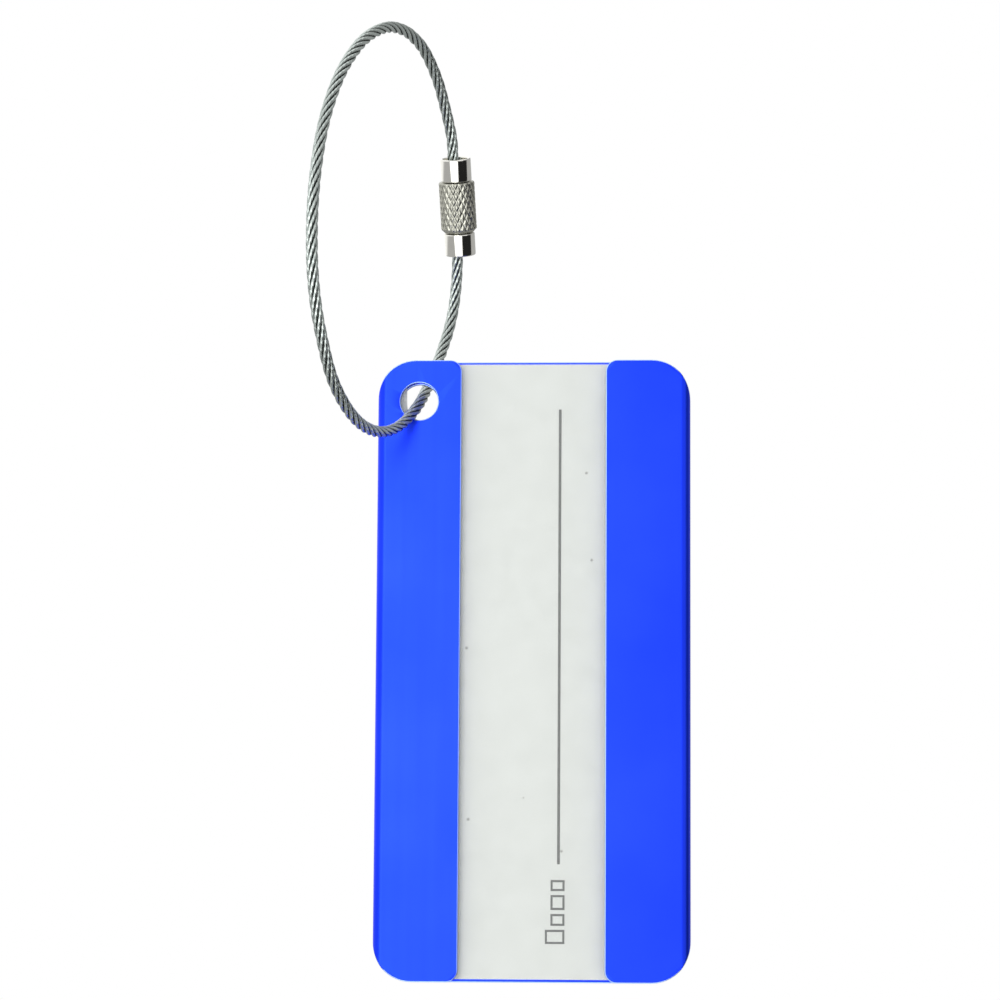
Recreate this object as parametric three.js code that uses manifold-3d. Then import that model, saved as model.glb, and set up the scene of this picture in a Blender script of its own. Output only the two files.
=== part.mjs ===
// A luggage tag: a folded sheet-metal case that holds a name card behind a clear window, hung from a
// loop of wire rope that a knurled screw clasp closes.
//
// Millimetres, +Z up. The origin is the top of the loop, at the rope's centre, where the loop hangs over
// a handle. The tag hangs below it with its front facing -Y and its long side upright.

import * as THREE from 'three';
import { mergeVertices } from 'three/addons/utils/BufferGeometryUtils.js';
import Module from 'manifold-3d';

const wasm = await Module();
wasm.setup();

// ---- driving dimensions -------------------------------------------------------------------------

// The case: one sheet, folded over at both long sides.
const CASE = { width: 40.5, height: 80, depth: 2.4, sheet: 0.6, cornerRadius: 5 };
const FLANGE = { width: 10.9, cornerRadius: 1.5 };
const HOLE = { radius: 2.45, inset: 5.4 };

// The front opening is cut this far past the flanges' inner faces, into the case's hollow.
const CUT_PAST_FLANGE = 0.3;

// The card and the window over it, which both slide out of the case's foot.
const INSERT = { width: 38, height: 79.2, cornerRadius: 4.6 };
const SLOT = { radius: 2.5, offset: 0.8 };
const CARD = { front: 0.2, thickness: 0.3 };
const WINDOW = { front: -0.5, thickness: 0.4 };

// The clasp leans towards the front and a little to the left as it rises.
const CLASP_FOOT = [5.9, 21.1, -25.3];
const CLASP_TILT = THREE.MathUtils.degToRad(21);
const CLASP_LEAN = THREE.MathUtils.degToRad(2.3);

// The clasp's turned pieces. Heights run along its axis, up from the lower ferrule's foot.
const FERRULE = { radius: 2.06, height: 3.05, chamfer: 0.25, rimChamfer: 0.12 };
const SLEEVE = {
  radius: 2.4, height: 7, footChamfer: 0.45, topChamfer: 0.15, bore: 1.5, lipBore: 1.0, lipHeight: 1.1,
};
const STUD = { rootRadius: 1.15, crestRadius: 1.4, pitch: 0.5, turns: 7 };
const RIVET = { neckRadius: 0.85, headRadius: 1.35, headHeight: 0.8, headGap: 0.3 };
const ROPE_SOCKET = { radius: 1.1, depth: 1.0 };
const CUP = { radius: 1.65, depth: 0.9 };
const JOINT_GAP = 0.1;

// The rope's centre line. It leaves the lower ferrule, passes forwards through the tag's hole, swings
// round in front of the tag and over the top of the loop, and ends in the upper ferrule's cup.
const ROPE = { radius: 0.75, sides: 8, steps: 52 };
const LOOP_ROUTE = [
  [5.5, 21.2, -25.6], [5.3, 22.2, -29], [4.9, 22.4, -32.5], [4.3, 21.6, -35.7], [3.7, 19.9, -38.3],
  [3.2, 17.2, -40.8], [2.9, 13.7, -43.1], [2.3, 10.2, -45.4], [1.7, 6.7, -47.7], [0.7, 3.5, -49.9],
  [-0.6, -0.6, -52], [-2, -4.7, -53.2], [-3.4, -9, -53.5], [-4.7, -13.1, -52.9], [-6, -17.2, -51.2],
  [-7.1, -20.7, -48.6], [-7.9, -23.4, -45], [-8.6, -25.2, -40.8], [-9, -26.2, -36.2],
  [-9.1, -26.4, -31.5], [-9, -26, -26.9], [-8.7, -25, -22.4], [-8.2, -23.5, -18], [-7.5, -21.4, -14],
  [-6.6, -18.9, -10.3], [-5.5, -15.8, -7], [-4.3, -12.3, -4.2], [-2.9, -8.4, -2], [-1.5, -4.2, -0.5],
  [0, 0, 0], [0.8, 2.3, -0.2], [1.6, 4.6, -0.7], [2.3, 6.8, -1.6], [3, 8.8, -3], [3.6, 10.7, -4.6],
  [4.1, 12.5, -6.5], [4.6, 14.1, -8.6], [5, 15.4, -10.8], [5.1, 16.6, -13.6],
];
const HOLE_CENTRE = [1.7, 6.7, -47.7];

// ---- helpers ------------------------------------------------------------------------------------

const ROUND_SEGMENTS = 48;
const ARC_SEGMENTS = 12;
const CUTTER_MARGIN = 1;

function toSolid(geometry) {
  const bare = geometry.clone();
  bare.deleteAttribute('normal');
  bare.deleteAttribute('uv');
  const merged = mergeVertices(bare, 1e-4);
  return new wasm.Manifold(new wasm.Mesh({
    numProp: 3,
    vertProperties: new Float32Array(merged.attributes.position.array),
    triVerts: new Uint32Array(merged.index.array),
  }));
}

function toGeometry(solid) {
  const mesh = solid.getMesh();
  const geometry = new THREE.BufferGeometry();
  geometry.setAttribute('position', new THREE.BufferAttribute(new Float32Array(mesh.vertProperties), 3));
  geometry.setIndex(new THREE.BufferAttribute(new Uint32Array(mesh.triVerts), 1));
  geometry.computeVertexNormals();
  return geometry;
}

// A plate whose outline is drawn in X and Z, from a front face at y to a back face at y + thickness.
function plate(outline, front, thickness) {
  const options = { depth: thickness, bevelEnabled: false, curveSegments: ARC_SEGMENTS };
  const geometry = new THREE.ExtrudeGeometry(outline, options);
  geometry.rotateX(Math.PI / 2);
  geometry.translate(0, front + thickness, 0);
  return geometry;
}

function roundedRectangle(left, bottom, width, height, radius) {
  const [right, top] = [left + width, bottom + height];
  const outline = new THREE.Shape();
  outline.absarc(right - radius, bottom + radius, radius, -Math.PI / 2, 0);
  outline.absarc(right - radius, top - radius, radius, 0, Math.PI / 2);
  outline.absarc(left + radius, top - radius, radius, Math.PI / 2, Math.PI);
  outline.absarc(left + radius, bottom + radius, radius, Math.PI, 1.5 * Math.PI);
  return outline;
}

// A flat bar's section with round ends, drawn in X and Y.
function roundEnded(path, left, width, depth) {
  const radius = depth / 2;
  path.absarc(left + width - radius, 0, radius, -Math.PI / 2, Math.PI / 2);
  path.absarc(left + radius, 0, radius, Math.PI / 2, 1.5 * Math.PI);
  return path;
}

// A turned piece: its profile is a list of [radius, height] that starts and ends on the axis.
function turned(profile) {
  const points = profile.map(([radius, height]) => new THREE.Vector2(radius, height));
  const geometry = new THREE.LatheGeometry(points, ROUND_SEGMENTS);
  return geometry.rotateX(Math.PI / 2);
}

function named(name, geometry, material) {
  const mesh = new THREE.Mesh(geometry, material);
  mesh.name = name;
  return mesh;
}

// ---- materials ----------------------------------------------------------------------------------

const anodisedBlue = new THREE.MeshStandardMaterial({ color: 0x2d50f5, roughness: 0.38, metalness: 0.7 });
const cardWhite = new THREE.MeshStandardMaterial({ color: 0xeceee9, roughness: 0.85, metalness: 0 });
const clearPlastic = new THREE.MeshStandardMaterial({
  color: 0xf4f7f6, roughness: 0.08, metalness: 0, transparent: true, opacity: 0.2,
});
const ropeSteel = new THREE.MeshStandardMaterial({ color: 0x8d9490, roughness: 0.35, metalness: 1 });
const platedSteel = new THREE.MeshStandardMaterial({ color: 0xd8d6cb, roughness: 0.12, metalness: 1 });
const knurledSteel = new THREE.MeshStandardMaterial({ color: 0xb9b8ab, roughness: 0.3, metalness: 1 });

// ---- the tag, drawn about its hole's centre, at the middle of its depth ----------------------------

const TAG_EDGES = {
  left: -HOLE.inset,
  right: CASE.width - HOLE.inset,
  top: HOLE.inset,
  bottom: HOLE.inset - CASE.height,
};

// The opening between the two flanges, which flares round each flange's rounded corners.
function frontOpening() {
  const left = TAG_EDGES.left + FLANGE.width;
  const right = TAG_EDGES.right - FLANGE.width;
  const { top, bottom } = TAG_EDGES;
  const r = FLANGE.cornerRadius;
  const outline = new THREE.Shape();
  outline.absarc(left - r, bottom + r, r, -Math.PI / 2, 0);
  outline.absarc(left - r, top - r, r, 0, Math.PI / 2);
  outline.lineTo(left - r, top + CUTTER_MARGIN);
  outline.lineTo(right + r, top + CUTTER_MARGIN);
  outline.absarc(right + r, top - r, r, Math.PI / 2, Math.PI);
  outline.absarc(right + r, bottom + r, r, Math.PI, 1.5 * Math.PI);
  outline.lineTo(right + r, bottom - CUTTER_MARGIN);
  outline.lineTo(left - r, bottom - CUTTER_MARGIN);
  return plate(outline, -CASE.depth / 2 - CUTTER_MARGIN, CUTTER_MARGIN + CASE.sheet + CUT_PAST_FLANGE);
}

// The folded sheet: a flat tube, trimmed to rounded corners, opened at the front and drilled.
function caseGeometry() {
  const { left, bottom } = TAG_EDGES;
  const section = roundEnded(new THREE.Shape(), left, CASE.width, CASE.depth);
  const inner = [left + CASE.sheet, CASE.width - 2 * CASE.sheet, CASE.depth - 2 * CASE.sheet];
  section.holes.push(roundEnded(new THREE.Path(), ...inner));
  const tube = new THREE.ExtrudeGeometry(section, {
    depth: CASE.height, bevelEnabled: false, curveSegments: ARC_SEGMENTS,
  });
  tube.translate(0, 0, bottom);
  const outline = roundedRectangle(left, bottom, CASE.width, CASE.height, CASE.cornerRadius);
  const trim = plate(outline, -CASE.depth, 2 * CASE.depth);
  const drill = new THREE.CylinderGeometry(HOLE.radius, HOLE.radius, 2 * CASE.depth, ROUND_SEGMENTS);
  const solid = toSolid(tube)
    .intersect(toSolid(trim))
    .subtract(toSolid(frontOpening()))
    .subtract(toSolid(drill));
  return toGeometry(solid);
}

// The card or its window: a rounded sheet with a slot that runs from the hole out of its top edge, so
// that it can be drawn down out of the case past the rope.
function insertGeometry({ front, thickness }) {
  const left = TAG_EDGES.left + (CASE.width - INSERT.width) / 2;
  const bottom = TAG_EDGES.bottom + (CASE.height - INSERT.height) / 2;
  const sheet = roundedRectangle(left, bottom, INSERT.width, INSERT.height, INSERT.cornerRadius);
  const slot = new THREE.Shape();
  slot.absarc(SLOT.offset, 0, SLOT.radius, Math.PI, 2 * Math.PI);
  slot.lineTo(SLOT.offset + SLOT.radius, TAG_EDGES.top + CUTTER_MARGIN);
  slot.lineTo(SLOT.offset - SLOT.radius, TAG_EDGES.top + CUTTER_MARGIN);
  const cutter = plate(slot, front - CUTTER_MARGIN, thickness + 2 * CUTTER_MARGIN);
  return toGeometry(toSolid(plate(sheet, front, thickness)).subtract(toSolid(cutter)));
}

function tag() {
  const group = new THREE.Group();
  group.add(named('tag_case', caseGeometry(), anodisedBlue));
  group.add(named('name_card', insertGeometry(CARD), cardWhite));
  group.add(named('clear_window', insertGeometry(WINDOW), clearPlastic));
  group.position.set(...HOLE_CENTRE);
  return group;
}

// ---- the clasp, drawn up its own axis from the lower ferrule's foot ---------------------------------

// The lower ferrule: crimped to the rope's start, with a threaded stud that stands up into the sleeve.
// The thread's turns are drawn as rings.
function lowerFerrule() {
  const { radius, height, chamfer } = FERRULE;
  const profile = [
    [0, ROPE_SOCKET.depth],
    [ROPE_SOCKET.radius, ROPE_SOCKET.depth],
    [ROPE_SOCKET.radius, 0],
    [radius - chamfer, 0],
    [radius, chamfer],
    [radius, height],
    [STUD.rootRadius, height],
  ];
  for (let turn = 0; turn < STUD.turns; turn += 1) {
    const start = height + (turn + 0.5) * STUD.pitch;
    profile.push([STUD.crestRadius, start + STUD.pitch / 2], [STUD.rootRadius, start + STUD.pitch]);
  }
  const tip = height + (STUD.turns + 0.5) * STUD.pitch;
  profile.push([0, tip]);
  return turned(profile);
}

// The sleeve: a nut that turns on the rivet's head and screws down over the stud.
function sleeve() {
  const { radius, height, footChamfer, topChamfer, bore, lipBore, lipHeight } = SLEEVE;
  const foot = FERRULE.height + JOINT_GAP;
  const top = FERRULE.height + height - JOINT_GAP;
  return turned([
    [bore, foot],
    [radius - footChamfer, foot],
    [radius, foot + footChamfer],
    [radius, top - topChamfer],
    [radius - topChamfer, top],
    [lipBore, top],
    [lipBore, top - lipHeight],
    [bore, top - lipHeight],
    [bore, foot],
  ]);
}

// The upper ferrule: a cup that the rope's end sits in, with a rivet below it that keeps the sleeve.
function upperFerrule() {
  const foot = FERRULE.height + SLEEVE.height;
  const top = foot + FERRULE.height;
  const headTop = foot - SLEEVE.lipHeight - RIVET.headGap;
  const { radius, rimChamfer } = FERRULE;
  return turned([
    [0, headTop - RIVET.headHeight],
    [RIVET.headRadius, headTop - RIVET.headHeight],
    [RIVET.headRadius, headTop],
    [RIVET.neckRadius, headTop],
    [RIVET.neckRadius, foot],
    [radius, foot],
    [radius, top - rimChamfer],
    [radius - rimChamfer, top],
    [CUP.radius, top],
    [CUP.radius, top - CUP.depth],
    [0, top - CUP.depth],
  ]);
}

function clasp() {
  const group = new THREE.Group();
  group.add(named('lower_ferrule', lowerFerrule(), platedSteel));
  group.add(named('knurled_sleeve', sleeve(), knurledSteel));
  group.add(named('upper_ferrule', upperFerrule(), platedSteel));
  group.rotation.set(CLASP_TILT, -CLASP_LEAN, 0);
  group.position.set(...CLASP_FOOT);
  return group;
}

// ---- the rope -----------------------------------------------------------------------------------

function rope() {
  const places = LOOP_ROUTE.map((place) => new THREE.Vector3(...place));
  const route = new THREE.CatmullRomCurve3(places, false, 'centripetal');
  const section = new THREE.Shape();
  for (let side = 0; side < ROPE.sides; side += 1) {
    const angle = (2 * Math.PI * (side + 0.5)) / ROPE.sides;
    const corner = [ROPE.radius * Math.cos(angle), ROPE.radius * Math.sin(angle)];
    if (side === 0) section.moveTo(...corner);
    else section.lineTo(...corner);
  }
  const geometry = new THREE.ExtrudeGeometry(section, { steps: ROPE.steps, extrudePath: route });
  return named('wire_rope', geometry, ropeSteel);
}

const luggageTag = new THREE.Group();
luggageTag.add(rope(), clasp(), tag());
export default luggageTag;
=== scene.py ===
# A luggage tag's looks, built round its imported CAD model: a folded blue metal case with a name card
# behind a clear window, on a loop of stranded wire rope that a knurled screw clasp closes.
#
# Metres, +Z up, in the CAD's own frame. The origin is the top of the loop, where it hangs over a handle,
# and the tag's front faces -Y.

import math

import bmesh
import bpy
from mathutils import Matrix, Vector


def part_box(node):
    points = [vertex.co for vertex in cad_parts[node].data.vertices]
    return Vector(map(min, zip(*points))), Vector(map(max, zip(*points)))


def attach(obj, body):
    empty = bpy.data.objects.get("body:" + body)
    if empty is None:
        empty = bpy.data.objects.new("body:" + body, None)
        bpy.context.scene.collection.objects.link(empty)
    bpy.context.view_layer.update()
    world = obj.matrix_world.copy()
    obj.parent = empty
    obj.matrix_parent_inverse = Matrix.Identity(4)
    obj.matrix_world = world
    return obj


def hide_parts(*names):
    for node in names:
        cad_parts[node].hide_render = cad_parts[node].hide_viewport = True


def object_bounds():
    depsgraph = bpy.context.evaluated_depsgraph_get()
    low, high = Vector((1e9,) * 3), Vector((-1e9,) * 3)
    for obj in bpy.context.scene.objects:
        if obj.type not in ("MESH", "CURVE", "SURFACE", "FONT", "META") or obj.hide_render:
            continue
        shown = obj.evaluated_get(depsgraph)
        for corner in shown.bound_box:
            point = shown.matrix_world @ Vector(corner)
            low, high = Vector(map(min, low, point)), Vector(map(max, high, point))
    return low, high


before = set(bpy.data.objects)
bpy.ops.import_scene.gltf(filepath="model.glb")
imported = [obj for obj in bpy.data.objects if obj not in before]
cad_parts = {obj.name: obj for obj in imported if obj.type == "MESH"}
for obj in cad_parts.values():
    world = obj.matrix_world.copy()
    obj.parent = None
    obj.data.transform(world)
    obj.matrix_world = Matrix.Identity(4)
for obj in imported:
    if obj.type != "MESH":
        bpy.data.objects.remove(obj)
cad_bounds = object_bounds()
scene = bpy.context.scene

MM = 0.001
FULL_TURN = 2 * math.pi


# ---- camera ---------------------------------------------------------------------------------------

CAMERA = {"distance": 0.45, "azimuth": 2.5, "elevation": -4.5, "roll": 0.36, "lens": 125.9}
AIM_FROM_TAG_CENTRE = Vector((-4.35, 0, 21.85)) * MM


def direction(azimuth, elevation):
    """The way from the object to a viewer: degrees round from -Y towards +X, and degrees up."""
    turn, rise = math.radians(azimuth), math.radians(elevation)
    return Vector((
        math.sin(turn) * math.cos(rise),
        -math.cos(turn) * math.cos(rise),
        math.sin(rise),
    ))


def add_camera():
    low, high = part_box("tag_case")
    centre = (low + high) / 2
    place = centre + CAMERA["distance"] * direction(CAMERA["azimuth"], CAMERA["elevation"])
    look = centre + AIM_FROM_TAG_CENTRE - place
    turn = look.to_track_quat("-Z", "Y").to_matrix().to_4x4()
    roll = Matrix.Rotation(math.radians(CAMERA["roll"]), 4, "Z")
    camera = bpy.data.objects.new("camera", bpy.data.cameras.new("camera"))
    camera.data.lens = CAMERA["lens"]
    camera.matrix_world = Matrix.Translation(place) @ turn @ roll
    scene.collection.objects.link(camera)
    scene.camera = camera


# ---- mesh helpers -----------------------------------------------------------------------------------

def add_piece(name, mesh, material, body):
    """A smooth-shaded piece of the object that moves with a CAD body."""
    mesh.shade_smooth()
    mesh.materials.append(material)
    piece = bpy.data.objects.new(name, mesh)
    scene.collection.objects.link(piece)
    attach(piece, body)
    return piece


def weigh_normals(piece):
    """Keeps flat faces flat in their shading, right up to their rounded edges."""
    modifier = piece.modifiers.new("weighted normals", "WEIGHTED_NORMAL")
    modifier.weight = 100
    modifier.keep_sharp = True


def skin(rings, looped=False):
    """The points and faces of a surface through equal rings of points. It is capped at both ends, or
    where it is looped its last ring joins its first."""
    size = len(rings[0])
    points = [point for ring in rings for point in ring]
    rows = len(rings) if looped else len(rings) - 1
    faces = []
    for row in range(rows):
        here = row * size
        ahead = (row + 1) % len(rings) * size
        for column in range(size):
            beside = (column + 1) % size
            faces.append((here + column, here + beside, ahead + beside, ahead + column))
    if not looped:
        faces.append(tuple(reversed(range(size))))
        faces.append(tuple(range(len(points) - size, len(points))))
    return points, faces


def mesh_of(name, surfaces):
    """One mesh of several closed surfaces, with every face pointing out."""
    sculpt = bmesh.new()
    for points, faces in surfaces:
        corners = [sculpt.verts.new(point) for point in points]
        for face in faces:
            sculpt.faces.new([corners[index] for index in face])
    bmesh.ops.recalc_face_normals(sculpt, faces=sculpt.faces)
    mesh = bpy.data.meshes.new(name)
    sculpt.to_mesh(mesh)
    sculpt.free()
    return mesh


def block(low, high):
    """A box's points and faces."""
    bottom, top = [
        [(low[0], low[1], z), (high[0], low[1], z), (high[0], high[1], z), (low[0], high[1], z)]
        for z in (low[2], high[2])
    ]
    return skin([bottom, top])


# ---- material helpers -------------------------------------------------------------------------------

def add_node(tree, kind, inputs=None, **settings):
    """A node whose inputs are plain values, or other nodes' outputs to be linked."""
    made = tree.nodes.new(kind)
    for name, value in settings.items():
        setattr(made, name, value)
    for key, value in (inputs or {}).items():
        if isinstance(value, bpy.types.NodeSocket):
            tree.links.new(value, made.inputs[key])
        else:
            made.inputs[key].default_value = value
    return made


def maths(tree, operation, *values, clamp=False):
    inputs = dict(enumerate(values))
    return add_node(tree, "ShaderNodeMath", inputs, operation=operation, use_clamp=clamp).outputs[0]


def noise(tree, scale, stretch=(1, 1, 1), detail=3, roughness=0.5):
    """Noise fixed to the piece. Scale is in features per metre, and a low stretch lengthens them."""
    place = add_node(tree, "ShaderNodeTexCoord").outputs["Object"]
    stretched = add_node(tree, "ShaderNodeMapping", {"Vector": place, "Scale": stretch}).outputs[0]
    texture = add_node(tree, "ShaderNodeTexNoise", {
        "Vector": stretched, "Scale": scale, "Detail": detail, "Roughness": roughness,
    })
    return texture.outputs["Fac"]


def ramp(tree, value, low, high):
    """Turns a value of 0.3 to 0.7, where most noise lies, into low to high."""
    return add_node(tree, "ShaderNodeMapRange", {
        "Value": value, "From Min": 0.3, "From Max": 0.7, "To Min": low, "To Max": high,
    }).outputs[0]


def blend_colours(tree, share, first, second):
    mix = add_node(tree, "ShaderNodeMix", {0: share, 6: first, 7: second}, data_type="RGBA")
    return mix.outputs[2]


def bump(tree, height, distance, strength=1.0):
    return add_node(tree, "ShaderNodeBump", {
        "Height": height, "Distance": distance, "Strength": strength,
    }).outputs[0]


def new_material(name, settings, inputs):
    """A material whose shader takes plain settings, and inputs that functions of its tree make."""
    material = bpy.data.materials.new(name)
    material.use_nodes = True
    tree = material.node_tree
    shader = tree.nodes["Principled BSDF"]
    for socket, value in settings.items():
        shader.inputs[socket].default_value = value
    for socket, make in inputs.items():
        tree.links.new(make(tree), shader.inputs[socket])
    return material


# ---- materials --------------------------------------------------------------------------------------

def anodised_blue():
    """Satin anodised sheet, with the faint grain of its rolling running up it. Its rounded cut edges
    carry a painted pale highlight."""
    grain = {"scale": 900, "stretch": (1, 1, 0.02), "detail": 4}

    def colour(tree):
        cloud = ramp(tree, noise(tree, 60), 0.0, 1.0)
        blue = blend_colours(tree, cloud, (0.013, 0.047, 0.92, 1), (0.017, 0.056, 1.0, 1))
        # The rounded cut edges are painted pale blue: a painted highlight.
        return blend_colours(tree, attribute(tree, "painted_edge_highlight"), blue, (0.40, 0.58, 1.0, 1))

    return new_material("anodised blue", {"Metallic": 1.0}, {
        "Base Color": colour,
        "Roughness": lambda tree: ramp(tree, noise(tree, **grain), 0.32, 0.37),
        "Normal": lambda tree: bump(tree, noise(tree, **grain), 0.002 * MM),
    })


def nickel(name, bright, dull, roughness):
    """Nickel plating, with fine handling scratches."""

    def colour(tree):
        return blend_colours(tree, ramp(tree, noise(tree, 700), 0.0, 1.0), bright, dull)

    def scratched(tree):
        scratches = noise(tree, 5000, stretch=(1, 1, 0.15), detail=2)
        return ramp(tree, scratches, roughness * 0.8, roughness * 1.3)

    return new_material(name, {"Metallic": 1.0}, {"Base Color": colour, "Roughness": scratched})


def attribute(tree, name):
    return add_node(tree, "ShaderNodeAttribute", attribute_name=name).outputs["Fac"]


# The grooves are painted dark, as grime and painted shade, below the first share of the rope's radius, and
# its wires are clean and unshaded above the second.
GROOVE_GRIME_AND_SHADE = {"below": 0.70, "above": 0.93}
# A few of the card's cells have a dark speck at their centre. Scale is in cells per metre.
SPECKS = {"scale": 260, "radius": 0.055, "share": 0.35}


def drawn_steel():
    """The rope's wires: drawn steel, with dark grime and painted shade down in the grooves between the
    strands.
    """

    def colour(tree):
        patches = ramp(tree, noise(tree, 900), 0.0, 1.0)
        steel = blend_colours(tree, patches, (0.46, 0.51, 0.49, 1), (0.55, 0.60, 0.57, 1))
        clean_and_lit = add_node(tree, "ShaderNodeMapRange", {
            "Value": attribute(tree, "reach"), "From Min": GROOVE_GRIME_AND_SHADE["below"], "From Max": GROOVE_GRIME_AND_SHADE["above"],
        }).outputs[0]
        # Near black in the grooves: dark grime together with painted shade.
        return blend_colours(tree, clean_and_lit, (0.04, 0.045, 0.04, 1), steel)

    return new_material("drawn steel", {"Metallic": 1.0}, {
        "Base Color": colour,
        "Roughness": lambda tree: ramp(tree, noise(tree, 4000), 0.30, 0.40),
    })


def card_stock():
    """Smooth white card, with its fibres and a few dark specks."""

    def colour(tree):
        fibre = ramp(tree, noise(tree, 400, detail=5), 0.0, 1.0)
        paper = blend_colours(tree, fibre, (0.62, 0.645, 0.615, 1), (0.66, 0.685, 0.655, 1))
        place = add_node(tree, "ShaderNodeTexCoord").outputs["Object"]
        cells = add_node(tree, "ShaderNodeTexVoronoi", {"Vector": place, "Scale": SPECKS["scale"]})
        speck = maths(tree, "LESS_THAN", cells.outputs["Distance"], SPECKS["radius"])
        colour_parts = add_node(tree, "ShaderNodeSeparateColor", {0: cells.outputs["Color"]})
        rare = maths(tree, "LESS_THAN", colour_parts.outputs[0], SPECKS["share"])
        return blend_colours(tree, maths(tree, "MULTIPLY", speck, rare), paper, (0.35, 0.36, 0.33, 1))

    return new_material("card stock", {"Specular IOR Level": 0.3}, {
        "Base Color": colour,
        "Roughness": lambda tree: ramp(tree, noise(tree, 2500), 0.70, 0.85),
        "Normal": lambda tree: bump(tree, noise(tree, 3000, detail=5), 0.003 * MM),
    })


def ink():
    """Grey printing ink, slightly uneven."""

    def colour(tree):
        return blend_colours(tree, noise(tree, 3000), (0.03, 0.033, 0.03, 1), (0.06, 0.065, 0.06, 1))

    return new_material("grey ink", {"Roughness": 0.6}, {"Base Color": colour})


def clear_sheet():
    """Clear, glossy plastic sheet, a little hazy from handling."""
    return new_material(
        "clear plastic sheet",
        {"Base Color": (0.93, 0.95, 0.94, 1), "Alpha": 0.08, "IOR": 1.5},
        {"Roughness": lambda tree: ramp(tree, noise(tree, 250, stretch=(1, 1, 0.3)), 0.05, 0.12)},
    )


def pale_floor():
    def colour(tree):
        return blend_colours(tree, noise(tree, 8), (0.83, 0.83, 0.83, 1), (0.86, 0.86, 0.86, 1))

    return new_material("pale floor", {"Roughness": 0.9}, {"Base Color": colour})


# ---- the loop of rope -------------------------------------------------------------------------------

# The rope's centre line, in metres. It leaves the lower ferrule, passes forwards through the tag's hole,
# swings round in front of the tag and over the top of the loop, and ends in the upper ferrule's cup.
LOOP_ROUTE = [
    (0.0055, 0.0212, -0.0256), (0.0053, 0.0222, -0.0290), (0.0049, 0.0224, -0.0325),
    (0.0043, 0.0216, -0.0357), (0.0037, 0.0199, -0.0383), (0.0032, 0.0172, -0.0408),
    (0.0029, 0.0137, -0.0431), (0.0023, 0.0102, -0.0454), (0.0017, 0.0067, -0.0477),
    (0.0007, 0.0035, -0.0499), (-0.0006, -0.0006, -0.0520), (-0.0020, -0.0047, -0.0532),
    (-0.0034, -0.0090, -0.0535), (-0.0047, -0.0131, -0.0529), (-0.0060, -0.0172, -0.0512),
    (-0.0071, -0.0207, -0.0486), (-0.0079, -0.0234, -0.0450), (-0.0086, -0.0252, -0.0408),
    (-0.0090, -0.0262, -0.0362), (-0.0091, -0.0264, -0.0315), (-0.0090, -0.0260, -0.0269),
    (-0.0087, -0.0250, -0.0224), (-0.0082, -0.0235, -0.0180), (-0.0075, -0.0214, -0.0140),
    (-0.0066, -0.0189, -0.0103), (-0.0055, -0.0158, -0.0070), (-0.0043, -0.0123, -0.0042),
    (-0.0029, -0.0084, -0.0020), (-0.0015, -0.0042, -0.0005), (0.0000, 0.0000, 0.0000),
    (0.0008, 0.0023, -0.0002), (0.0016, 0.0046, -0.0007), (0.0023, 0.0068, -0.0016),
    (0.0030, 0.0088, -0.0030), (0.0036, 0.0107, -0.0046), (0.0041, 0.0125, -0.0065),
    (0.0046, 0.0141, -0.0086), (0.0050, 0.0154, -0.0108), (0.0051, 0.0166, -0.0136),
]

# A 7x7 rope: six strands of six wires each, laid round a core. The strands turn right-handed, and the
# wires turn the other way in each strand, so that they lie along the rope.
ROPE = {
    "radius": 0.75 * MM, "strands": 6, "lay": 10.6 * MM,
    "wires": 6, "wire_lay": 3.53 * MM, "wire_relief": 0.35, "points_per_wire": 4,
    "step": 0.32 * MM, "tuck": 0.5 * MM,
}
# The core and the strands round it are all as thick as each other.
STRAND_RADIUS = ROPE["radius"] / 3
CORE_SIDES = 8
TUCK_POINTS = 3


def catmull_rom(before, start, end, after, share):
    """A point between start and end on the centripetal Catmull-Rom curve through all four points."""
    knots = [0.0]
    for one, other in ((before, start), (start, end), (end, after)):
        knots.append(knots[-1] + math.sqrt((other - one).length))
    at = knots[1] + share * (knots[2] - knots[1])

    def between(one, other, low, high):
        return one.lerp(other, (at - knots[low]) / (knots[high] - knots[low]))

    first = between(before, start, 0, 1)
    middle = between(start, end, 1, 2)
    last = between(end, after, 2, 3)
    return between(between(first, middle, 0, 2), between(middle, last, 1, 3), 1, 2)


def smooth_line(points, step):
    """Points about a step apart along the smooth curve through the given points."""
    ends = [2 * points[0] - points[1], *points, 2 * points[-1] - points[-2]]
    line = []
    for before, start, end, after in zip(ends, ends[1:], ends[2:], ends[3:]):
        count = max(1, round((end - start).length / step))
        line += [catmull_rom(before, start, end, after, index / count) for index in range(count)]
    return [*line, points[-1]]


def rope_line():
    """The rope's centre line, with each end tucked straight into its ferrule."""
    line = smooth_line([Vector(place) for place in LOOP_ROUTE], ROPE["step"])
    first_way = (line[0] - line[1]).normalized()
    last_way = (line[-1] - line[-2]).normalized()
    tucks = [step / TUCK_POINTS * ROPE["tuck"] for step in range(TUCK_POINTS, 0, -1)]
    return [
        *[line[0] + tuck * first_way for tuck in tucks],
        *line,
        *[line[-1] + tuck * last_way for tuck in reversed(tucks)],
    ]


def carried_frames(line):
    """For each point of a line: the length up to it, and two directions across it that never twist."""
    frames = []
    length = 0.0
    across = None
    for index, point in enumerate(line):
        ahead = line[min(index + 1, len(line) - 1)]
        behind = line[max(index - 1, 0)]
        along = (ahead - behind).normalized()
        if across is None:
            across = along.orthogonal()
        else:
            length += (point - line[index - 1]).length
        across = (across - across.dot(along) * along).normalized()
        frames.append((point, length, across, along.cross(across)))
    return frames


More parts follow.
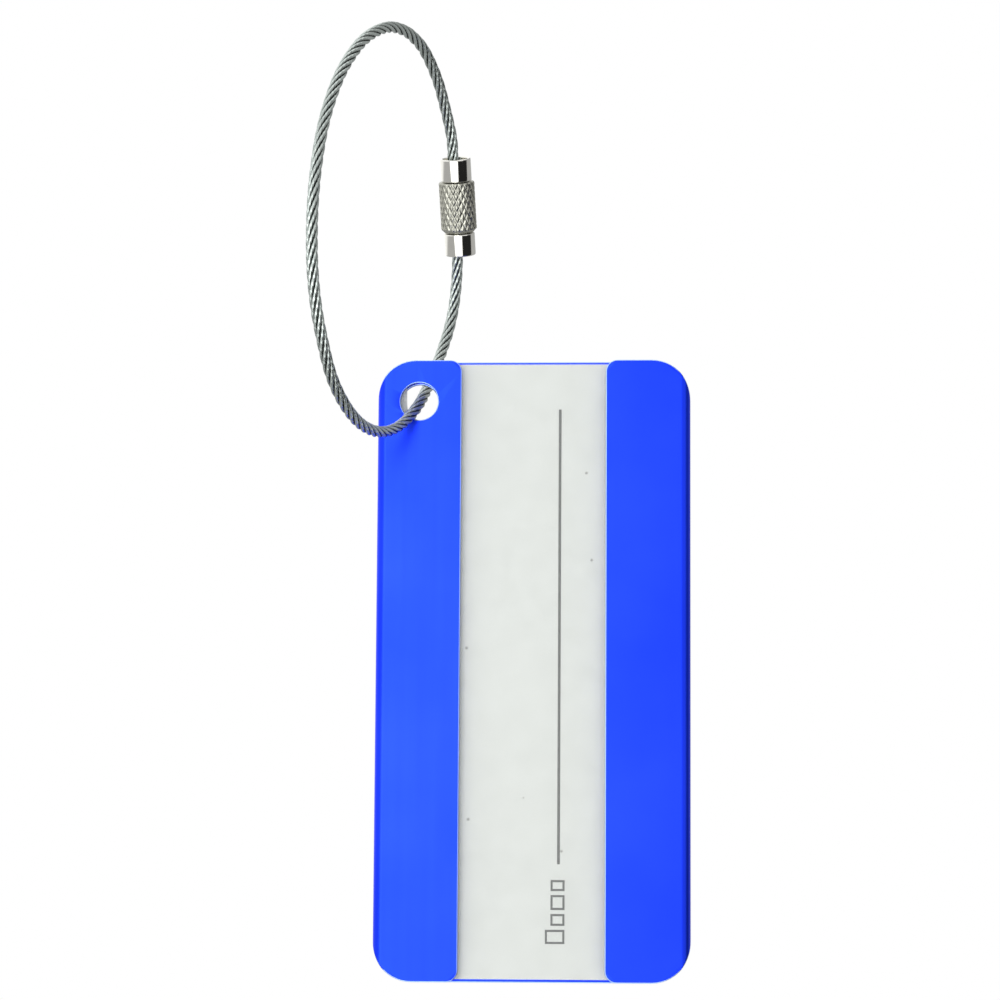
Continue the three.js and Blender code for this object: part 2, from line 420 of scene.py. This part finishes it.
def wire_lobes():
    """A strand's outline, as (angle, radius) pairs: the outer edges of its wires, side by side, which
    wear has flattened."""
    wire_radius = STRAND_RADIUS / 3
    ring_radius = STRAND_RADIUS - wire_radius
    count = ROPE["points_per_wire"]
    outline = []
    for wire in range(ROPE["wires"]):
        for point in range(count):
            offset = (point / count - 0.5) * FULL_TURN / ROPE["wires"]
            half_chord = wire_radius**2 - (ring_radius * math.sin(offset))**2
            radius = ring_radius * math.cos(offset) + math.sqrt(max(half_chord, 0.0))
            worn = STRAND_RADIUS + ROPE["wire_relief"] * (radius - STRAND_RADIUS)
            outline.append((wire * FULL_TURN / ROPE["wires"] + offset, worn))
    return outline


def strand(frames, first_angle):
    """One strand's surface, which winds round the rope's centre line."""
    winding_radius = ROPE["radius"] - STRAND_RADIUS
    outline = wire_lobes()
    rings = []
    for point, length, across, beside in frames:
        wind = first_angle + FULL_TURN * length / ROPE["lay"]
        twist = wind - FULL_TURN * length / ROPE["wire_lay"]
        centre = point + winding_radius * (math.cos(wind) * across + math.sin(wind) * beside)
        rings.append([
            centre + radius * (math.cos(twist + angle) * across + math.sin(twist + angle) * beside)
            for angle, radius in outline
        ])
    return skin(rings)


def core(frames):
    corners = [index * FULL_TURN / CORE_SIDES for index in range(CORE_SIDES)]
    return skin([
        [point + STRAND_RADIUS * (math.cos(turn) * across + math.sin(turn) * beside) for turn in corners]
        for point, _, across, beside in frames
    ])


def add_rope(material):
    line = rope_line()
    frames = carried_frames(line)
    strands = [
        strand(frames, index * FULL_TURN / ROPE["strands"]) for index in range(ROPE["strands"])
    ]
    surfaces = [core(frames), *strands]
    mesh = mesh_of("stranded_rope", surfaces)
    # How far each point stands out from the rope's centre, for the grime and painted shade in the grooves.
    reach = mesh.attributes.new("reach", "FLOAT", "POINT")
    reach.data.foreach_set("value", [
        (place - frames[index * len(frames) // len(points)][0]).length / ROPE["radius"]
        for points, _ in surfaces for index, place in enumerate(points)
    ])
    rope = add_piece("stranded_rope", mesh, material, "loop")
    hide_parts("wire_rope")
    return rope, line


# ---- the clasp --------------------------------------------------------------------------------------

# Heights run along the clasp's axis, up from the lower ferrule's foot.
CLASP_FOOT = Vector((0.0059, 0.0211, -0.0253))
CLASP_TILT = math.radians(21)
CLASP_LEAN = math.radians(2.3)
FERRULE = {"radius": 2.06 * MM, "height": 3.05 * MM, "edge": 0.2 * MM}
CUP = {"radius": 1.65 * MM, "depth": 0.9 * MM}
ROPE_SOCKET = {"radius": 1.1 * MM, "depth": 0.6 * MM}
STUD = {"root": 1.15 * MM, "crest": 1.4 * MM, "pitch": 0.5 * MM, "turns": 7}
RIVET = {"neck": 0.85 * MM, "head": 1.35 * MM, "head_height": 0.8 * MM, "head_gap": 0.3 * MM}
SLEEVE = {
    "radius": 2.4 * MM, "height": 7 * MM, "foot_edge": 0.45 * MM, "top_edge": 0.15 * MM,
    "end_gap": 0.1 * MM, "bore": 1.5 * MM, "lip_bore": 1.0 * MM, "lip_height": 1.1 * MM,
}
KNURL = {"starts": 20, "pitch": 1.5 * MM, "depth": 0.13 * MM, "columns": 12, "rows": 24, "flat": 0.65}
ROUND_STEPS = 5
TURNED_SIDES = 128
# A rounded corner takes no more than this share of the lines that meet at it.
ROUND_SHARE = 0.4
KNURL_CREASE = math.radians(50)


def rounded(profile, radius):
    """A profile of (radius, height) points with each inner corner rounded."""
    corners = [Vector(point) for point in profile]
    smooth = [corners[0]]
    for before, corner, after in zip(corners, corners[1:], corners[2:]):
        shorter = min((before - corner).length, (after - corner).length)
        cut = min(radius, ROUND_SHARE * shorter)
        start = corner + cut * (before - corner).normalized()
        end = corner + cut * (after - corner).normalized()
        for step in range(ROUND_STEPS + 1):
            share = step / ROUND_STEPS
            smooth.append(start.lerp(corner, share).lerp(corner.lerp(end, share), share))
    return [*smooth, corners[-1]]


def circle(radius, height, sides):
    """A ring of points round the Z axis. The radius may be a function of the angle."""
    ring = []
    for index in range(sides):
        turn = index * FULL_TURN / sides
        reach = radius(turn) if callable(radius) else radius
        ring.append(Vector((reach * math.cos(turn), reach * math.sin(turn), height)))
    return ring


def onto_clasp(mesh):
    """Moves a mesh drawn round the Z axis onto the clasp's axis."""
    tilt = Matrix.Rotation(CLASP_TILT, 4, "X")
    lean = Matrix.Rotation(-CLASP_LEAN, 4, "Y")
    mesh.transform(Matrix.Translation(CLASP_FOOT) @ tilt @ lean)


def turned_piece(name, profile, node, material):
    rings = [circle(radius, height, TURNED_SIDES) for radius, height in profile]
    mesh = mesh_of(name, [skin(rings)])
    onto_clasp(mesh)
    piece = add_piece(name, mesh, material, "loop")
    weigh_normals(piece)
    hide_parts(node)
    return piece


def add_lower_ferrule(material):
    """The ferrule crimped on the rope's start, with its threaded stud inside the sleeve."""
    radius, height = FERRULE["radius"], FERRULE["height"]
    shell = [
        (ROPE_SOCKET["radius"] / 4, ROPE_SOCKET["depth"]),
        (ROPE_SOCKET["radius"], ROPE_SOCKET["depth"]),
        (ROPE_SOCKET["radius"], 0),
        (radius, 0),
        (radius, height),
        (STUD["root"], height),
        (STUD["root"], height + STUD["pitch"] / 2),
    ]
    thread = []
    for turn in range(STUD["turns"]):
        start = height + (turn + 0.5) * STUD["pitch"]
        thread += [(STUD["crest"], start + STUD["pitch"] / 2), (STUD["root"], start + STUD["pitch"])]
    return turned_piece(
        "crimped_ferrule", rounded(shell, FERRULE["edge"]) + thread, "lower_ferrule", material,
    )


def add_upper_ferrule(material):
    """The cup that the rope's end sits in, with the rivet that keeps the sleeve."""
    foot = FERRULE["height"] + SLEEVE["height"]
    top = foot + FERRULE["height"]
    head_top = foot - SLEEVE["lip_height"] - RIVET["head_gap"]
    profile = [
        (RIVET["neck"], head_top - RIVET["head_height"]),
        (RIVET["head"], head_top - RIVET["head_height"]),
        (RIVET["head"], head_top),
        (RIVET["neck"], head_top),
        (RIVET["neck"], foot),
        (FERRULE["radius"], foot),
        (FERRULE["radius"], top),
        (CUP["radius"], top),
        (CUP["radius"], top - CUP["depth"]),
        (CUP["radius"] / 4, top - CUP["depth"]),
    ]
    return turned_piece("cup_ferrule", rounded(profile, FERRULE["edge"]), "upper_ferrule", material)


def knurl_height(turn, height):
    """How high the knurl's diamonds stand at a place: 0 in a groove and 1 on a flattened tip."""
    def wave(value):
        return 1 - abs(2 * (value % 1) - 1)

    around = KNURL["starts"] * turn / FULL_TURN
    climb = height / KNURL["pitch"]
    return min(wave(around + climb), wave(around - climb), KNURL["flat"]) / KNURL["flat"]


def knurled_ring(radius, height, fade=1.0):
    def reach(turn):
        return radius - fade * KNURL["depth"] * (1 - knurl_height(turn, height))

    return circle(reach, height, KNURL["starts"] * KNURL["columns"])


def add_sleeve(material):
    """The knurled nut, with chamfered ends and a lip that the rivet's head holds."""
    foot = FERRULE["height"] + SLEEVE["end_gap"]
    top = FERRULE["height"] + SLEEVE["height"] - SLEEVE["end_gap"]
    radius, foot_edge, top_edge = SLEEVE["radius"], SLEEVE["foot_edge"], SLEEVE["top_edge"]
    sides = KNURL["starts"] * KNURL["columns"]
    rings = [
        circle(SLEEVE["bore"], top - SLEEVE["lip_height"], sides),
        circle(SLEEVE["bore"], foot, sides),
        circle(radius - foot_edge, foot, sides),
        knurled_ring(radius - foot_edge / 2, foot + foot_edge / 2, fade=0.5),
    ]
    length = top - top_edge - foot - foot_edge
    rows = round(length * KNURL["rows"] / KNURL["pitch"])
    for row in range(rows + 1):
        rings.append(knurled_ring(radius, foot + foot_edge + length * row / rows))
    rings += [
        circle(radius - top_edge, top, sides),
        circle(SLEEVE["lip_bore"], top, sides),
        circle(SLEEVE["lip_bore"], top - SLEEVE["lip_height"], sides),
    ]
    mesh = mesh_of("knurled_nut", [skin(rings, looped=True)])
    onto_clasp(mesh)
    nut = add_piece("knurled_nut", mesh, material, "sleeve")
    nut.data.set_sharp_from_angle(angle=KNURL_CREASE)
    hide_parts("knurled_sleeve")
    return nut


# ---- the case ---------------------------------------------------------------------------------------

# The case is one sheet, drawn flat and then folded. Flat, it runs across from the left flange's inner
# edge, round the left fold, along the back, and round the right fold to the right flange's inner edge.
CASE = {"depth": 2.4 * MM, "sheet": 0.6 * MM, "corner": 5 * MM, "edge": 0.1 * MM}
FLANGE = {"width": 10.9 * MM, "corner": 1.5 * MM}
HOLE = {"radius": 2.45 * MM, "inset": 5.4 * MM, "sides": 64}
FOLD_STEPS = 16
CORNER_STEPS = 12
RIM_STEPS = 3
# The sheet's rims are the edges where its faces meet at more than this.
RIM_ANGLE = math.radians(60)


class FoldedSheet:
    """Turns places on the flat sheet into places on the folded case."""

    def __init__(self):
        low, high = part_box("tag_case")
        self.left, self.right, self.bottom, self.top = low.x, high.x, low.z, high.z
        self.middle = (low.y + high.y) / 2
        self.outer_radius = CASE["depth"] / 2
        self.fold_radius = self.outer_radius - CASE["sheet"] / 2
        self.fold_length = math.pi * self.fold_radius
        self.flange = FLANGE["width"] - self.outer_radius
        self.back = self.right - self.left - 2 * self.outer_radius
        self.width = 2 * (self.flange + self.fold_length) + self.back

    def folds(self):
        """Where each fold starts on the flat sheet."""
        return self.flange, self.flange + self.fold_length + self.back

    def place(self, across, up, out=0.0):
        """The folded place of a point on the sheet, where out is its distance from the mid-surface
        towards the outer face."""
        reach = self.fold_radius + out
        first, second = self.folds()
        if across < first:
            return Vector((self.left + FLANGE["width"] - across, self.middle - reach, up))
        if across < first + self.fold_length:
            turn = (across - first) / self.fold_radius
            x = self.left + self.outer_radius - reach * math.sin(turn)
            return Vector((x, self.middle - reach * math.cos(turn), up))
        if across < second:
            x = self.left + self.outer_radius + across - first - self.fold_length
            return Vector((x, self.middle + reach, up))
        if across < second + self.fold_length:
            turn = (across - second) / self.fold_radius
            x = self.right - self.outer_radius + reach * math.sin(turn)
            return Vector((x, self.middle + reach * math.cos(turn), up))
        past = across - second - self.fold_length
        return Vector((self.right - self.outer_radius - past, self.middle - reach, up))

    def height(self, across):
        """The height of the sheet's top edge at a place across it, above the sheet's middle."""
        half = (self.top - self.bottom) / 2
        inner_edge = min(across, self.width - across)
        if inner_edge < FLANGE["corner"]:
            return half - corner_drop(inner_edge, FLANGE["corner"])
        x = self.place(across, 0, CASE["sheet"] / 2).x
        return half - corner_drop(min(x - self.left, self.right - x), CASE["corner"])

    def stops(self):
        """The places across the sheet where its outline has a point, from left to right."""
        stops = set()
        for index in range(CORNER_STEPS + 1):
            turn = index / CORNER_STEPS * math.pi / 2
            flange_corner = FLANGE["corner"] * (1 - math.cos(turn))
            stops.update((flange_corner, self.width - flange_corner))
            from_edge = CASE["corner"] * (1 - math.cos(turn))
            if from_edge > self.outer_radius:
                past_fold = from_edge - self.outer_radius
                for start in self.folds():
                    stops.update((start - past_fold, start + self.fold_length + past_fold))
        stops.update(self.fold_lines())
        return sorted(stops)

    def fold_lines(self):
        """The lines along which the sheet bends."""
        return [
            start + step / FOLD_STEPS * self.fold_length
            for start in self.folds() for step in range(FOLD_STEPS + 1)
        ]

    def hole_centres(self):
        """The hole goes through the left flange and through the back behind it."""
        front = FLANGE["width"] - HOLE["inset"]
        back = self.flange + self.fold_length + HOLE["inset"] - self.outer_radius
        return front, back


def corner_drop(from_edge, radius):
    """How far a rounded corner's outline has dropped at a distance from the side edge."""
    if from_edge >= radius:
        return 0.0
    return radius - math.sqrt(max(radius**2 - (radius - from_edge)**2, 0.0))


def edge_loop(sculpt, points):
    """A closed loop of edges through (across, up) points."""
    corners = [sculpt.verts.new((across, up, 0)) for across, up in points]
    return [
        sculpt.edges.new((corner, corners[(index + 1) % len(corners)]))
        for index, corner in enumerate(corners)
    ]


def flat_sheet(sheet):
    """The sheet before it is folded: across in X, up in Y, and its thickness in Z, outer face up."""
    sculpt = bmesh.new()
    upper = [(across, sheet.height(across)) for across in sheet.stops()]
    lower = [(across, -up) for across, up in reversed(upper)]
    edges = edge_loop(sculpt, upper + lower)
    hole_up = (sheet.top - sheet.bottom) / 2 - HOLE["inset"]
    for centre in sheet.hole_centres():
        edges += edge_loop(sculpt, [
            (centre + point.x, hole_up + point.y)
            for point in circle(HOLE["radius"], 0, HOLE["sides"])
        ])
    bmesh.ops.triangle_fill(sculpt, use_beauty=True, edges=edges)
    for line in sheet.fold_lines():
        bmesh.ops.bisect_plane(
            sculpt, geom=[*sculpt.verts, *sculpt.edges, *sculpt.faces],
            dist=1e-7, plane_co=(line, 0, 0), plane_no=(1, 0, 0),
        )
    thicken(sculpt)
    return sculpt


def thicken(sculpt):
    """Gives a flat sheet its thickness, and rounds all its cut edges."""
    painted_edge_highlight = sculpt.faces.layers.float.new("painted_edge_highlight")
    for corner in sculpt.verts:
        corner.co.z = -CASE["sheet"] / 2
    grown = bmesh.ops.extrude_face_region(sculpt, geom=list(sculpt.faces))
    for corner in grown["geom"]:
        if isinstance(corner, bmesh.types.BMVert):
            corner.co.z = CASE["sheet"] / 2
    bmesh.ops.recalc_face_normals(sculpt, faces=sculpt.faces)
    rims = [
        edge for edge in sculpt.edges
        if abs(edge.verts[0].co.z - edge.verts[1].co.z) < CASE["sheet"] / 2
        and edge.calc_face_angle(0) > RIM_ANGLE
    ]
    # The overlap clamp is off, because the fold lines lie so close together that it would shrink the
    # rounding to almost nothing. It leaves tiny folded slivers, such as where the corners meet the folds.
    rounded_rims = bmesh.ops.bevel(
        sculpt, geom=rims, offset=CASE["edge"], offset_type="OFFSET", segments=RIM_STEPS, profile=0.5,
        affect="EDGES", clamp_overlap=False,
    )
    # The rounded rims are marked for the case's painted pale-blue highlight.
    for face in rounded_rims["faces"]:
        face[painted_edge_highlight] = 1.0


def add_case(material):
    sheet = FoldedSheet()
    sculpt = flat_sheet(sheet)
    middle_height = (sheet.top + sheet.bottom) / 2
    for corner in sculpt.verts:
        corner.co = sheet.place(corner.co.x, middle_height + corner.co.y, corner.co.z)
    bmesh.ops.recalc_face_normals(sculpt, faces=sculpt.faces)
    mesh = bpy.data.meshes.new("folded_case")
    sculpt.to_mesh(mesh)
    sculpt.free()
    case = add_piece("folded_case", mesh, material, "case")
    weigh_normals(case)
    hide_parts("tag_case")


# ---- the card, its print and its window ---------------------------------------------------------------

# The print is placed from the tag's centre, as (left, bottom, right, top).
INK = {"thickness": 0.01 * MM, "gap": 0.004 * MM, "stroke": 0.28 * MM}
WRITING_LINE = (3.22, -25.0, 3.58, 33.7)
PRINT_CREASE = math.radians(30)
# Plain frames stand where the card's label is, one for each sign, read up the card.
LABEL_FRAMES = [
    (1.7, -35.1, 4.2, -33.3),
    (2.4, -32.8, 4.2, -31.3),
    (2.4, -30.8, 4.2, -28.9),
    (2.4, -28.4, 4.2, -27.0),
]


def frame_strokes(left, bottom, right, top):
    """The four strokes of a hollow frame."""
    stroke = INK["stroke"] / MM
    return [
        (left, bottom, right, bottom + stroke),
        (left, top - stroke, right, top),
        (left, bottom + stroke, left + stroke, top - stroke),
        (right - stroke, bottom + stroke, right, top - stroke),
    ]


def add_print(name, patches, material):
    """Ink on the card's front face."""
    case_low, case_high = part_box("tag_case")
    centre = (case_low + case_high) / 2
    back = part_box("name_card")[0].y - INK["gap"]
    blocks = []
    for left, bottom, right, top in patches:
        low = (centre.x + left * MM, back - INK["thickness"], centre.z + bottom * MM)
        high = (centre.x + right * MM, back, centre.z + top * MM)
        blocks.append(block(low, high))
    printed = add_piece(name, mesh_of(name, blocks), material, "card")
    printed.data.set_sharp_from_angle(angle=PRINT_CREASE)


def add_card_and_window():
    grey = ink()
    add_print("writing_line", [WRITING_LINE], grey)
    strokes = [stroke for place in LABEL_FRAMES for stroke in frame_strokes(*place)]
    add_print("label_marks", strokes, grey)
    for node, material in (("name_card", card_stock()), ("clear_window", clear_sheet())):
        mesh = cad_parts[node].data
        mesh.materials.clear()
        mesh.materials.append(material)


# ---- floor and light ----------------------------------------------------------------------------------

FLOOR = {"size": 3.0, "below": 0.18}

# The studio, seen from the tag: its brightness all round, and the panels that stand in it. Azimuths are
# degrees round from -Y towards +X, elevations are degrees up, and soft is the width of a panel's edge.
STUDIO_BRIGHTNESS = 0.5
STUDIO_PANELS = [
    {"azimuth": (-200, -45), "elevation": (-4, 100), "soft": 12, "brightness": 1.2},
    {"azimuth": (-200, 200), "elevation": (58, 100), "soft": 12, "brightness": 1.4},
    {"azimuth": (-40, 24), "elevation": (-100, 50), "soft": 8, "brightness": 0.85},
    {"azimuth": (-40, 24), "elevation": (-100, -14), "soft": 8, "brightness": 1.9},
    {"azimuth": (24, 100), "elevation": (-100, 60), "soft": 8, "brightness": 0.35},
    {"azimuth": (25, 98), "elevation": (-100, 3), "soft": 5, "brightness": 0.02},
    {"azimuth": (24, 62), "elevation": (-8, 50), "soft": 8, "brightness": 0.95},
]
# A softbox stands close in front and to the left, so that the left flange mirrors it more than the right.
# It is placed from the tag's centre, facing back.
SOFTBOX = {"left": -180 * MM, "right": -8 * MM, "bottom": -90 * MM, "top": 170 * MM, "ahead": 250 * MM}
SOFTBOX_RADIANCE = 2.35


def add_floor():
    half = FLOOR["size"] / 2
    height = cad_bounds[0].z - FLOOR["below"]
    mesh = bpy.data.meshes.new("floor")
    corners = [(-half, -half, height), (half, -half, height), (half, half, height), (-half, half, height)]
    mesh.from_pydata(corners, [], [(0, 1, 2, 3)])
    mesh.materials.append(pale_floor())
    floor = bpy.data.objects.new("floor", mesh)
    floor.visible_glossy = False
    scene.collection.objects.link(floor)


def add_softbox():
    low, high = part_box("tag_case")
    width = SOFTBOX["right"] - SOFTBOX["left"]
    height = SOFTBOX["top"] - SOFTBOX["bottom"]
    light = bpy.data.lights.new("softbox", "AREA")
    light.shape = "RECTANGLE"
    light.size = width
    light.size_y = height
    light.energy = SOFTBOX_RADIANCE * math.pi * width * height
    softbox = bpy.data.objects.new("softbox", light)
    middle = Vector((SOFTBOX["left"] + width / 2, -SOFTBOX["ahead"], SOFTBOX["bottom"] + height / 2))
    facing_back = Matrix.Rotation(math.radians(90), 4, "X")
    softbox.matrix_world = Matrix.Translation((low + high) / 2 + middle) @ facing_back
    softbox.visible_camera = False
    scene.collection.objects.link(softbox)


def band(tree, value, limits, soft):
    """1 where a value lies between two limits and 0 outside them, with soft edges."""
    low, high = limits
    rise = add_node(tree, "ShaderNodeMapRange", {
        "Value": value, "From Min": low - soft / 2, "From Max": low + soft / 2,
    }, interpolation_type="SMOOTHSTEP").outputs[0]
    fall = add_node(tree, "ShaderNodeMapRange", {
        "Value": value, "From Min": high - soft / 2, "From Max": high + soft / 2,
        "To Min": 1.0, "To Max": 0.0,
    }, interpolation_type="SMOOTHSTEP").outputs[0]
    return maths(tree, "MULTIPLY", rise, fall)


def add_studio():
    """Light from all round, brighter and darker by panels, before a plain white backdrop."""
    world = bpy.data.worlds.new("studio")
    world.use_nodes = True
    scene.world = world
    tree = world.node_tree
    way = add_node(tree, "ShaderNodeTexCoord").outputs["Generated"]
    parts = add_node(tree, "ShaderNodeSeparateXYZ", {0: way}).outputs
    forward = maths(tree, "MULTIPLY", parts["Y"], -1.0)
    azimuth = maths(tree, "DEGREES", maths(tree, "ARCTAN2", parts["X"], forward))
    elevation = maths(tree, "DEGREES", maths(tree, "ARCSINE", parts["Z"]))
    brightness = STUDIO_BRIGHTNESS
    for panel in STUDIO_PANELS:
        mask = maths(
            tree, "MULTIPLY",
            band(tree, azimuth, panel["azimuth"], panel["soft"]),
            band(tree, elevation, panel["elevation"], panel["soft"]),
        )
        mix = add_node(tree, "ShaderNodeMix", {0: mask, 2: brightness, 3: panel["brightness"]})
        brightness = mix.outputs[0]
    seen = add_node(tree, "ShaderNodeLightPath").outputs["Is Camera Ray"]
    shown = add_node(tree, "ShaderNodeMix", {0: seen, 2: brightness, 3: 1.0}).outputs[0]
    tree.links.new(shown, tree.nodes["Background"].inputs["Strength"])
    tree.nodes["Background"].inputs["Color"].default_value = (1, 1, 1, 1)


# ---- the scene ----------------------------------------------------------------------------------------

add_camera()
rope, rope_path = add_rope(drawn_steel())
bright_nickel = nickel("bright nickel", (0.80, 0.79, 0.74, 1), (0.74, 0.73, 0.68, 1), 0.07)
knurled_nickel = nickel("knurled nickel", (0.46, 0.46, 0.40, 1), (0.38, 0.38, 0.33, 1), 0.32)
clasp_pieces = [
    add_lower_ferrule(bright_nickel),
    add_sleeve(knurled_nickel),
    add_upper_ferrule(bright_nickel),
]
add_case(anodised_blue())
add_card_and_window()
add_floor()
add_softbox()
add_studio()
scene.view_settings.view_transform = "Standard"
